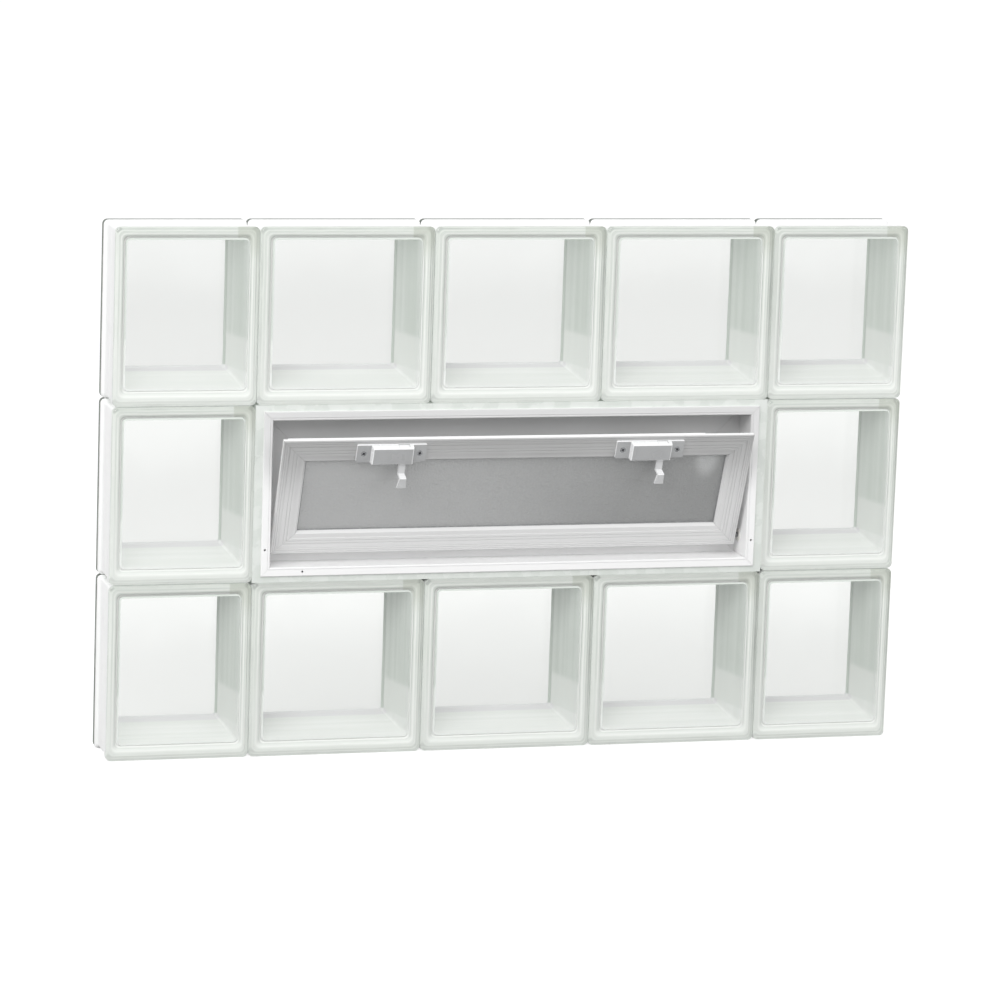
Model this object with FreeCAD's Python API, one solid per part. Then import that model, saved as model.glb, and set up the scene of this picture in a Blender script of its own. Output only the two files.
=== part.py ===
import FreeCAD, Part
import math
import os

os.makedirs("parts", exist_ok=True)

# Glass block window panel with a tilting vent, in millimetres.
# X runs along the width, -Y faces the room and +Z is up.
# The origin is the middle of the lower edge of the room-side face.

# Glass blocks
block_size = 196.3
end_block_width = 159.5
block_depth = 79.4
joint_gap = 0.8
inner_columns = 3
rows = 3
block_corner_radius = 5.0
block_face_bevel = 1.2
rim_depth = 13.0
channel_depth = 3.5
channel_slope = 4.0
weld_ridge_height = 0.5
weld_ridge_half = 1.5
pane_thickness = 7.0
rim_width = 12.0
cavity_draft = 2.5
cavity_corner_radius = 7.0
pane_fillet = 4.0
fillet_chords = 2
corner_chords = 4
cavity_chords = 3

# Sealant between blocks and around the vent
sealant_clearance = 0.3
sealant_setback = 2.5
sealant_touch = 0.1
sealant_end_gap = 9.0

# Vent frame
vent_gap_side = 9.5
vent_gap_level = 7.0
frame_face = 10.0
frame_wall = 2.2
stop_height = 27.0
frame_edge_bevel = 0.8
rib_width = 1.2
rib_height = 0.5
screw_hole_radius = 1.2
screw_hole_level = 30.0
sill_hole_from_end = 47.0

# Sash
sash_gap = 5.5
swing_clearance = 10.0
sash_thickness = 14.0
sash_flange = 6.0
flange_overhang = 5.0
sash_rail = 28.0
sash_wall = 2.0
sash_edge_bevel = 1.0
sash_rebate = 8.0
glass_thickness = 3.2
glass_edge_gap = 1.5
gasket_thickness = 0.7
gasket_show = 1.0
bead_setback = 0.8
bead_slope = 2.6
sash_open_angle = 22.0
pivot_depth = -12.0
pivot_above_edge = 9.0
stop_clearance = 5.0

# Pivots
pin_radius = 3.0
pin_grip = 9.0
pin_fit = 0.1
bush_radius = 5.0
bush_flange_radius = 7.0
bush_flange = 1.2

# Latches
latch_spacing = 298.0
latch_length = 79.0
latch_height = 21.5
latch_below_top = 4.5
ear_length = 15.5
ear_thickness = 3.0
housing_projection = 10.0
housing_draft = 1.0
housing_edge_bevel = 1.0
latch_edge_radius = 1.2
bolt_offset = 13.0
bolt_width = 12.0
bolt_thickness = 5.0
bolt_back_gap = 1.8
bolt_fit = 0.4
lever_neck = 13.5
lever_width = 7.5
ledge_reach = 9.0
ledge_thickness = 2.2
tongue_length = 14.0
tongue_flare = 1.6
tongue_lean = 2.0
ear_hole_radius = 1.7
ear_sink_radius = 3.7
keeper_clearance = 1.2

V = FreeCAD.Vector
half_depth = block_depth / 2
panel_width = inner_columns * block_size + 2 * end_block_width + (inner_columns + 1) * joint_gap
panel_height = rows * block_size + (rows - 1) * joint_gap
hole_width = inner_columns * block_size + (inner_columns + 1) * joint_gap
hole_height = block_size + 2 * joint_gap
hole_bottom = block_size
frame_width = hole_width - 2 * vent_gap_side
frame_height = hole_height - 2 * vent_gap_level
frame_bottom = hole_bottom + vent_gap_level
frame_top = frame_bottom + frame_height
swing_radius = math.hypot(sash_thickness / 2, pivot_above_edge)
sash_gap_below = swing_radius + swing_clearance - pivot_above_edge
sash_width = frame_width - 2 * (frame_face + sash_gap)
sash_height = frame_height - 2 * frame_face - sash_gap - sash_gap_below
sash_bottom = frame_bottom + frame_face + sash_gap_below
sash_top = sash_bottom + sash_height
sash_front = pivot_depth - sash_thickness / 2
sash_back = pivot_depth + sash_thickness / 2
stop_front = pivot_depth + math.hypot(sash_thickness / 2, pivot_above_edge - flange_overhang) + stop_clearance
pivot_level = sash_bottom + pivot_above_edge
pivot = V(0, pivot_depth, pivot_level)


def save(shape, node):
    """Write one named piece, drawn about mid depth, with the room-side face of the blocks at Y = 0."""
    placed = shape.copy()
    placed.translate(V(0, half_depth, 0))
    placed.exportStep("parts/" + node + ".step")


def outline(width, height, radius, depth, chords):
    """Corner points of a rounded rectangle about the Y axis, each corner turned in short chords."""
    points = []
    for quarter in range(4):
        side = 1 if quarter in (0, 3) else -1
        level = 1 if quarter in (0, 1) else -1
        for chord in range(chords + 1):
            angle = math.radians(90 * (quarter + chord / chords))
            points.append(V(side * (width / 2 - radius) + radius * math.cos(angle), depth,
                            level * (height / 2 - radius) + radius * math.sin(angle)))
    return points


def framed_solid(width, height, radius, chords, profile):
    """Solid whose edge follows one profile all round, each profile point being (depth, inset)."""
    rings = []
    for depth, inset in profile:
        rings.append(outline(width - 2 * inset, height - 2 * inset, radius - inset, depth, chords))
    faces = [Part.Face(Part.makePolygon(ring + ring[:1])) for ring in (rings[0], rings[-1])]
    for near, far in zip(rings, rings[1:]):
        for k in range(len(near)):
            corners = [near[k - 1], near[k], far[k], far[k - 1], near[k - 1]]
            faces.append(Part.Face(Part.makePolygon(corners)))
    solid = Part.Solid(Part.makeShell(faces))
    if solid.Volume < 0:
        solid.reverse()
    return solid


def both_halves(front):
    """Profile of the front half, up to the weld, followed by its mirror image."""
    return front + [(-depth, inset) for depth, inset in reversed(front) if depth < 0]


def glass_block(width, height):
    """Two pressed glass halves fused at mid depth, with an edge channel and a sealed cavity."""
    rim_end = half_depth - rim_depth
    body = framed_solid(width, height, block_corner_radius, corner_chords, both_halves([
        (-half_depth, block_face_bevel),
        (-half_depth + block_face_bevel, 0),
        (-rim_end, 0),
        (-rim_end + channel_slope, channel_depth),
        (-weld_ridge_half, channel_depth),
        (0, channel_depth - weld_ridge_height),
    ]))
    inside = half_depth - pane_thickness
    hollow = []
    for chord in range(fillet_chords + 1):
        angle = math.radians(90 * chord / fillet_chords)
        hollow.append((-inside + pane_fillet * (1 - math.cos(angle)),
                       cavity_draft + pane_fillet * (1 - math.sin(angle))))
    hollow.append((0, 0))
    cavity = framed_solid(width - 2 * rim_width + 2 * cavity_draft, height - 2 * rim_width + 2 * cavity_draft,
                          cavity_corner_radius + cavity_draft, cavity_chords, both_halves(hollow))
    return body.cut(cavity)


def box(x0, x1, y0, y1, z0, z1):
    """Box between two corners."""
    return Part.makeBox(x1 - x0, y1 - y0, z1 - z0, V(x0, y0, z0))


def section_face(points, holes=()):
    """Profile face in the YZ plane from (inward, depth) points, with hollow chambers."""
    face = Part.Face(Part.makePolygon([V(0, y, d) for d, y in points + points[:1]]))
    for d0, d1, y0, y1 in holes:
        ring = [V(0, y0, d0), V(0, y1, d0), V(0, y1, d1), V(0, y0, d1), V(0, y0, d0)]
        face = face.cut(Part.Face(Part.makePolygon(ring)))
    return face


def mitred_bar(face, length, reach):
    """Length of profile along X with both ends mitred at 45 degrees, growing inward along +Z."""
    bar = face.extrude(V(length, 0, 0))
    bar.translate(V(-length / 2, 0, 0))
    h = length / 2
    ends = [V(-h, 0, 0), V(h, 0, 0), V(h - reach, 0, reach), V(reach - h, 0, reach), V(-h, 0, 0)]
    wedge = Part.Face(Part.makePolygon(ends)).extrude(V(0, 4 * block_depth, 0))
    wedge.translate(V(0, -2 * block_depth, 0))
    return bar.common(wedge)


def mitred_frame(face, width, height, bottom, reach):
    """Four mitred lengths of one profile: head, sill, left and right."""
    sill = mitred_bar(face, width, reach)
    head = sill.copy()
    head.rotate(V(0, 0, 0), V(0, 1, 0), 180)
    head.translate(V(0, 0, bottom + height))
    sill.translate(V(0, 0, bottom))
    left = mitred_bar(face, height, reach)
    right = left.copy()
    left.rotate(V(0, 0, 0), V(0, 1, 0), 90)
    left.translate(V(-width / 2, 0, bottom + height / 2))
    right.rotate(V(0, 0, 0), V(0, 1, 0), -90)
    right.translate(V(width / 2, 0, bottom + height / 2))
    return head, sill, left, right


# Blocks: five in the top and bottom rows, one at each end of the middle row
inner_block = glass_block(block_size, block_size)
end_block = glass_block(end_block_width, block_size)
pitch = block_size + joint_gap
end_centre = (inner_columns * pitch + joint_gap + end_block_width) / 2
columns = [(-end_centre, end_block)]
for index in range(inner_columns):
    columns.append(((index - (inner_columns - 1) / 2) * pitch, inner_block))
columns.append((end_centre, end_block))
for row, name in ((2, "top"), (1, "middle"), (0, "bottom")):
    for number, (centre, shape) in enumerate(columns, 1):
        if name == "middle" and shape is inner_block:
            continue
        piece = shape.translated(V(centre, 0, row * pitch + block_size / 2))
        save(piece, "glass_block_" + name + "_" + str(number))

# Sealant strips that fill the edge channels between neighbouring blocks
strip_depth = half_depth - rim_depth - channel_slope - 1
strip_half = channel_depth - weld_ridge_height - sealant_clearance + joint_gap / 2
joint_centres = [-(inner_columns / 2) * pitch, -(inner_columns / 2 - 1) * pitch]
joint_centres += [-x for x in reversed(joint_centres)]
for row, name in ((2, "top"), (0, "bottom")):
    strips = []
    for x in joint_centres:
        strips.append(box(x - strip_half, x + strip_half, -strip_depth, strip_depth,
                          row * pitch + sealant_end_gap, row * pitch + block_size - sealant_end_gap))
    save(Part.makeCompound(strips), "joint_sealant_" + name + "_row")
for level, name in ((1, "lower"), (2, "upper")):
    z = level * pitch - joint_gap / 2
    strips = []
    for side in (-1, 1):
        x0 = side * (end_centre - end_block_width / 2 + sealant_end_gap)
        x1 = side * (end_centre + end_block_width / 2 - sealant_end_gap)
        strips.append(box(min(x0, x1), max(x0, x1), -strip_depth, strip_depth, z - strip_half, z + strip_half))
    save(Part.makeCompound(strips), "bed_sealant_" + name)

# Sealant that beds the vent frame in its hole and keys into the channels around it
key = channel_depth - weld_ridge_height - sealant_clearance
bed_width = hole_width - 2 * sealant_touch
bed_height = hole_height - 2 * sealant_touch
bed_bottom = hole_bottom + sealant_touch
bed_side = vent_gap_side - sealant_touch
bed_level = vent_gap_level - sealant_touch
bed_front = half_depth - sealant_setback
x1 = bed_width / 2
x0 = x1 - bed_side
z0 = bed_bottom
z1 = bed_bottom + bed_height
column_half = block_size / 2 - sealant_end_gap
for side, name in ((-1, "left"), (1, "right")):
    bar = box(x0, x1, -bed_front, bed_front, z0, z1)
    lug = box(x1 - 1, x1 + key, -strip_depth, strip_depth, z0 + sealant_end_gap, z1 - sealant_end_gap)
    bar = bar.fuse(lug).removeSplitter()
    if side < 0:
        bar = bar.mirror(V(0, 0, 0), V(1, 0, 0))
    save(bar, "vent_sealant_" + name)
for up, name in ((-1, "below"), (1, "above")):
    edge = z1 if up > 0 else z0
    inner = edge - up * bed_level
    bar = box(-x0, x0, -bed_front, bed_front, min(edge, inner), max(edge, inner))
    for index in range(inner_columns):
        centre = (index - (inner_columns - 1) / 2) * pitch
        low = min(edge - up, edge + up * key)
        high = max(edge - up, edge + up * key)
        bar = bar.fuse(box(centre - column_half, centre + column_half, -strip_depth, strip_depth, low, high))
    save(bar.removeSplitter(), "vent_sealant_" + name)

# Vent frame: hollow extrusion with a face, a pocket for the sash and a stop behind it
c = frame_edge_bevel
f = frame_face
s = frame_face + stop_height
frame_points = [
    (0, -half_depth + c),
    (c, -half_depth),
    (f - c, -half_depth),
    (f, -half_depth + c),
    (f, stop_front),
    (s - c, stop_front),
    (s, stop_front + c),
    (s, half_depth - c),
    (s - c, half_depth),
    (c, half_depth),
    (0, half_depth - c),
]
w = frame_wall
chambers = [
    (w, f - w, -half_depth + w, stop_front - w / 2),
    (w, s - w, stop_front + w, half_depth - w),
]
profile = section_face(frame_points, chambers)
head, sill, jamb_left, jamb_right = mitred_frame(profile, frame_width, frame_height, frame_bottom, s)

# Slots in the head where the latch bolts enter
bolt_front = sash_front - bolt_back_gap - bolt_thickness
for side in (-1, 1):
    x = side * latch_spacing / 2 + bolt_offset
    half = bolt_width / 2 + keeper_clearance
    head = head.cut(box(x - half, x + half, bolt_front - keeper_clearance,
                        bolt_front + bolt_thickness + keeper_clearance,
                        frame_top - f - 1, frame_top - w - 1))

# Small fixing holes in the face of the jambs and the sill
hole_from_edge = frame_face / 2 - 1
for side in (-1, 1):
    x = side * (frame_width / 2 - hole_from_edge)
    drill = Part.makeCylinder(screw_hole_radius, 2 * w, V(x, -half_depth - w / 2, frame_bottom + screw_hole_level),
                              V(0, 1, 0))
    if side < 0:
        jamb_left = jamb_left.cut(drill)
    else:
        jamb_right = jamb_right.cut(drill)
x = -frame_width / 2 + sill_hole_from_end
sill = sill.cut(Part.makeCylinder(screw_hole_radius, 2 * w, V(x, -half_depth - w / 2, frame_bottom + f / 2),
                                  V(0, 1, 0)))

# Pivot bushes set in the jambs
bush_inner = frame_width / 2 - frame_face
bush_outer = frame_width / 2 - frame_wall - 0.5
bush_length = bush_outer - bush_inner
bush_profile = [
    V(pin_radius + pin_fit, 0, -bush_flange),
    V(bush_flange_radius, 0, -bush_flange),
    V(bush_flange_radius, 0, 0),
    V(bush_radius, 0, 0),
    V(bush_radius, 0, bush_length),
    V(pin_radius + pin_fit, 0, bush_length),
    V(pin_radius + pin_fit, 0, -bush_flange),
]
bush = Part.Face(Part.makePolygon(bush_profile)).revolve(V(0, 0, 0), V(0, 0, 1), 360)
bush.rotate(V(0, 0, 0), V(0, 1, 0), 90)
bush.translate(V(bush_inner, pivot_depth, pivot_level))
bush_seat = Part.makeCylinder(bush_radius, bush_length + 1, V(bush_inner - 1, pivot_depth, pivot_level), V(1, 0, 0))
jamb_right = jamb_right.cut(bush_seat)
jamb_left = jamb_left.cut(bush_seat.mirror(V(0, 0, 0), V(1, 0, 0)))
save(head, "vent_frame_head")
save(sill, "vent_frame_sill")
save(jamb_left, "vent_frame_jamb_left")
save(jamb_right, "vent_frame_jamb_right")
save(bush, "pivot_bush_right")
save(bush.mirror(V(0, 0, 0), V(1, 0, 0)), "pivot_bush_left")


def save_on_sash(shape, node):
    """Tilt a piece drawn on the closed sash to its open position and write it."""
    piece = shape.copy()
    piece.rotate(pivot, V(1, 0, 0), sash_open_angle)
    save(piece, node)


# Sash: hollow mitred rails with a raised outer rib and a rebate for the pane
b = sash_edge_bevel
land = sash_rail - sash_rebate
pane_front = pivot_depth - glass_thickness / 2
pane_back = pivot_depth + glass_thickness / 2
rib_start = sash_rail / 4
sash_points = [
    (0, sash_front + b),
    (b, sash_front),
    (rib_start, sash_front),
    (rib_start, sash_front + rib_height),
    (rib_start + rib_width, sash_front + rib_height),
    (rib_start + rib_width, sash_front),
    (land, sash_front),
    (land, pane_back),
    (sash_rail, pane_back),
    (sash_rail, sash_back - b),
    (sash_rail - b, sash_back),
    (flange_overhang + b, sash_back),
    (flange_overhang, sash_back - b),
    (flange_overhang, sash_front + sash_flange),
    (b, sash_front + sash_flange),
    (0, sash_front + sash_flange - b),
]
w = sash_wall
middle_wall = (flange_overhang + land) / 2
sash_chambers = [
    (flange_overhang + w, middle_wall - w / 2, sash_front + w + rib_height, sash_back - w),
    (middle_wall + w / 2, land - w, sash_front + w, sash_back - w),
]
profile = section_face(sash_points, sash_chambers)
rails = mitred_frame(profile, sash_width, sash_height, sash_bottom, sash_rail)
top_rail, bottom_rail, stile_left, stile_right = rails

# Glazing bead, gasket and pane
bead_front = sash_front + bead_setback
bead_points = [
    (land, bead_front),
    (sash_rail - bead_slope, bead_front),
    (sash_rail, bead_front + bead_slope),
    (sash_rail, pane_front - gasket_thickness),
    (land, pane_front - gasket_thickness),
]
beads = mitred_frame(section_face(bead_points), sash_width, sash_height, sash_bottom, sash_rail)
gasket_points = [
    (land + 1, pane_front - gasket_thickness),
    (sash_rail + gasket_show, pane_front - gasket_thickness),
    (sash_rail + gasket_show, pane_front),
    (land + 1, pane_front),
]
gaskets = mitred_frame(section_face(gasket_points), sash_width, sash_height, sash_bottom,
                       sash_rail + gasket_show)
glass_in = land + glass_edge_gap
pane = box(-sash_width / 2 + glass_in, sash_width / 2 - glass_in, pane_front, pane_back,
           sash_bottom + glass_in, sash_top - glass_in)

# Pivot pins pressed into the stiles
pin_out = frame_width / 2 - frame_face + bush_length - 1
pin_in = sash_width / 2 - pin_grip
pin = Part.makeCylinder(pin_radius, pin_out - pin_in, V(pin_in, pivot_depth, pivot_level), V(1, 0, 0))
pin_seat = Part.makeCylinder(pin_radius, pin_grip + 1, V(pin_in - 0.1, pivot_depth, pivot_level), V(1, 0, 0))
stile_right = stile_right.cut(pin_seat)
stile_left = stile_left.cut(pin_seat.mirror(V(0, 0, 0), V(1, 0, 0)))
bottom_rail = bottom_rail.cut(pin_seat).cut(pin_seat.mirror(V(0, 0, 0), V(1, 0, 0)))
save_on_sash(pin, "pivot_pin_right")
save_on_sash(pin.mirror(V(0, 0, 0), V(1, 0, 0)), "pivot_pin_left")


def tapered_block(length, height, projection, draft):
    """Housing block standing out of the sash face, its sides drawn in and its front edges bevelled."""
    base = Part.makePolygon([V(-length / 2, 0, 0), V(length / 2, 0, 0), V(length / 2, 0, height),
                             V(-length / 2, 0, height), V(-length / 2, 0, 0)])
    d = draft
    front = Part.makePolygon([V(d - length / 2, -projection, d / 2), V(length / 2 - d, -projection, d / 2),
                              V(length / 2 - d, -projection, height - d / 2),
                              V(d - length / 2, -projection, height - d / 2),
                              V(d - length / 2, -projection, d / 2)])
    block = Part.makeLoft([base, front], True, True)
    front_edges = [e for e in block.Edges if all(v.Y < -projection / 2 for v in e.Vertexes)]
    return block.makeChamfer(housing_edge_bevel, front_edges)


def latch_bracket():
    """Bridge with a drafted housing, two countersunk ears and a passage for the bolt, about its base centre."""
    ears = box(-latch_length / 2, latch_length / 2, -ear_thickness, 0, 0, latch_height)
    upright = [e for e in ears.Edges if abs(e.Vertexes[0].Y - e.Vertexes[1].Y) > 1]
    ears = ears.makeFillet(latch_edge_radius, upright)
    housing = tapered_block(latch_length - 2 * ear_length, latch_height, housing_projection, housing_draft)
    bracket = ears.fuse(housing).removeSplitter()
    way_x = bolt_width / 2 + bolt_fit
    bracket = bracket.cut(box(bolt_offset - way_x, bolt_offset + way_x,
                              -bolt_back_gap - bolt_thickness - bolt_fit, -bolt_back_gap + bolt_fit,
                              -1, latch_height + 1))
    for side in (-1, 1):
        x = side * (latch_length - ear_length) / 2
        bracket = bracket.cut(Part.makeCylinder(ear_hole_radius, 3 * ear_thickness,
                                                V(x, -2 * ear_thickness, latch_height / 2), V(0, 1, 0)))
        sink_depth = ear_sink_radius - ear_hole_radius
        bracket = bracket.cut(Part.makeCone(ear_sink_radius, ear_hole_radius, sink_depth,
                                            V(x, -ear_thickness, latch_height / 2), V(0, 1, 0)))
    return bracket


def latch_bolt():
    """Flat bolt with a neck, a ledge and a finger tongue below it, in one piece."""
    y1 = -bolt_back_gap
    y0 = y1 - bolt_thickness
    bar = box(bolt_offset - bolt_width / 2, bolt_offset + bolt_width / 2, y0, y1, 1, latch_height)
    nose = [e for e in bar.Edges if e.Vertexes[0].Z > latch_height - 1 and e.Vertexes[1].Z > latch_height - 1]
    bar = bar.makeChamfer(0.8, nose)
    neck = box(bolt_offset - lever_width / 2, bolt_offset + lever_width / 2, y0 + 1, y1 - 1, -lever_neck, 2)
    z = -lever_neck
    side_view = [
        V(0, y1 - 1, z),
        V(0, y0 - ledge_reach, z),
        V(0, y0 - ledge_reach - 0.6, z - 1),
        V(0, y0 - ledge_reach + tongue_lean, z - tongue_length),
        V(0, y0 - ledge_reach + tongue_lean + ledge_thickness, z - tongue_length),
        V(0, y0 - ledge_reach + ledge_thickness + 1, z - ledge_thickness),
        V(0, y1 - 1, z - ledge_thickness),
        V(0, y1 - 1, z),
    ]
    tab = Part.Face(Part.makePolygon(side_view)).extrude(V(lever_width + 2 * tongue_flare, 0, 0))
    tab.translate(V(bolt_offset - lever_width / 2 - tongue_flare, 0, 0))
    h = lever_width / 2
    plan = [V(-h, 0, z + 1), V(h, 0, z + 1), V(h, 0, z - ledge_thickness),
            V(h + tongue_flare, 0, z - tongue_length - 1), V(-h - tongue_flare, 0, z - tongue_length - 1),
            V(-h, 0, z - ledge_thickness), V(-h, 0, z + 1)]
    trim = Part.Face(Part.makePolygon(plan)).extrude(V(0, -60, 0))
    trim.translate(V(bolt_offset, 20, 0))
    return bar.fuse(neck).fuse(tab.common(trim)).removeSplitter()


# Latches on the top rail
bracket = latch_bracket()
bolt = latch_bolt()
base_level = sash_top - latch_below_top - latch_height
for side, name in ((-1, "left"), (1, "right")):
    place = V(side * latch_spacing / 2, sash_front, base_level)
    save_on_sash(bracket.translated(place), "latch_bracket_" + name)
    save_on_sash(bolt.translated(place), "latch_bolt_" + name)

save_on_sash(top_rail, "sash_rail_top")
save_on_sash(bottom_rail, "sash_rail_bottom")
save_on_sash(stile_left, "sash_stile_left")
save_on_sash(stile_right, "sash_stile_right")
save_on_sash(pane, "sash_obscure_pane")
save_on_sash(Part.makeCompound(list(beads[:2])), "glazing_beads_level")
save_on_sash(Part.makeCompound(list(beads[2:])), "glazing_beads_upright")
save_on_sash(Part.makeCompound(list(gaskets)), "glazing_gasket")
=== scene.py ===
import logging
import math
from collections.abc import Callable, Sequence
from dataclasses import dataclass
from enum import Enum
from typing import Any

import bpy
import numpy as np
from mathutils import Matrix, Vector


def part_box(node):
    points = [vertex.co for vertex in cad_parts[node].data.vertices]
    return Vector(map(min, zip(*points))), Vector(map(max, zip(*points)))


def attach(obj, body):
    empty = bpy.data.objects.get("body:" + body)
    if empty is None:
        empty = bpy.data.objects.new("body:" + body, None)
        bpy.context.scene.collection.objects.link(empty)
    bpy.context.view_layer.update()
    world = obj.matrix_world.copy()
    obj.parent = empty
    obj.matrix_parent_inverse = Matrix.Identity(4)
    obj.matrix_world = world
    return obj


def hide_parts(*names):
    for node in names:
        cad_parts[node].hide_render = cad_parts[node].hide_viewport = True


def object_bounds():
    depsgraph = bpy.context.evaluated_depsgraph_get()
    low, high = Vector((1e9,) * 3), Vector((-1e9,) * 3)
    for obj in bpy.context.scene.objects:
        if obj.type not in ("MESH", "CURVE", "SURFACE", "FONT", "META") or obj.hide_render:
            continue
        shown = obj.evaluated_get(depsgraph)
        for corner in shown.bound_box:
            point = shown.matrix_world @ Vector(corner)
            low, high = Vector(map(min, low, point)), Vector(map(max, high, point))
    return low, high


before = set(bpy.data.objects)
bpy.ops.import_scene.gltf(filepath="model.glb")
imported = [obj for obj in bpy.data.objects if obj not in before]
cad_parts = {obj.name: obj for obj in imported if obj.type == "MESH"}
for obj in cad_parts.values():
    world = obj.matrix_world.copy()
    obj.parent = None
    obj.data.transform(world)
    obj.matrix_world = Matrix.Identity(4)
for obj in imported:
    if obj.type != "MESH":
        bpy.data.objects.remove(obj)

log = logging.getLogger("glass_block_panel")
CAD_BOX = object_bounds()
MM = 0.001
ROW_PITCH = 197.1 * MM
SASH_TILT = math.radians(22.0)
SASH_PIVOT = (0.0, 0.0277, 0.2347017543)
SOFT = 1.0 * MM
NOISE_SPAN = (0.2, 0.8)
LIGHT_RAYS = ("Is Diffuse Ray", "Is Shadow Ray")
SEEN_RAYS = ("Is Camera Ray", "Is Glossy Ray", "Is Transmission Ray")
GLASS, COAT, WALL, RIM = range(4)

Colour = tuple[float, float, float]
Point = tuple[float, float, float]
Span = tuple[float, float]


# Shader maths


def math_method(operation: str, swapped: bool = False) -> Callable[..., "Wire"]:
    """Return a method of Wire that adds one Math node.

    Args:
        operation: What the node works out.
        swapped: Whether the wire is the second value, not the first.

    Returns:
        The method.
    """

    def method(wire: "Wire", *others: "Wire | float") -> "Wire":
        """Return the node's result."""
        values = (*others, wire) if swapped else (wire, *others)
        return wire.graph.node("ShaderNodeMath", {"operation": operation}, dict(enumerate(values)))

    return method


class Wire:
    """A node's output socket, on which Python arithmetic adds Math nodes."""

    def __init__(self, graph: "Graph", socket: bpy.types.NodeSocket) -> None:
        """Keep the socket with the graph that it belongs to."""
        self.graph = graph
        self.socket = socket

    __add__ = math_method("ADD")
    __sub__ = math_method("SUBTRACT")
    __rsub__ = math_method("SUBTRACT", swapped=True)
    __mul__ = math_method("MULTIPLY")
    __truediv__ = math_method("DIVIDE")
    __mod__ = math_method("FLOORED_MODULO")
    __abs__ = math_method("ABSOLUTE")
    least = math_method("MINIMUM")
    most = math_method("MAXIMUM")

    def step(self, start: float, end: float, low: float = 0.0, high: float = 1.0) -> "Wire":
        """Return a smooth step from low, where this value is at the start, to high at the end."""
        return self.graph.node(
            "ShaderNodeMapRange",
            {"interpolation_type": "SMOOTHSTEP"},
            {"Value": self, "From Min": start, "From Max": end, "To Min": low, "To Max": high},
        )

    def fade(self, start: float, end: float, full: float = 1.0) -> "Wire":
        """Return the full value up to the start, falling smoothly to 0 at the end."""
        return self.step(start, end, full, 0.0)

    def swing(self, width: float) -> "Wire":
        """Return a noise as a swing about zero, with this width in all."""
        return (self - 0.5) * width

    def spread(self, ends: Span) -> "Wire":
        """Return a noise's usual span as a smooth step from one end to the other."""
        return self.step(*NOISE_SPAN, *ends)


@dataclass(frozen=True)
class Grain:
    """A noise: its waves per metre, its finer layers and their strength, and a scale for each axis."""

    scale: float
    detail: float = 2.0
    rough: float = 0.5
    stretch: Point | None = None


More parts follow.
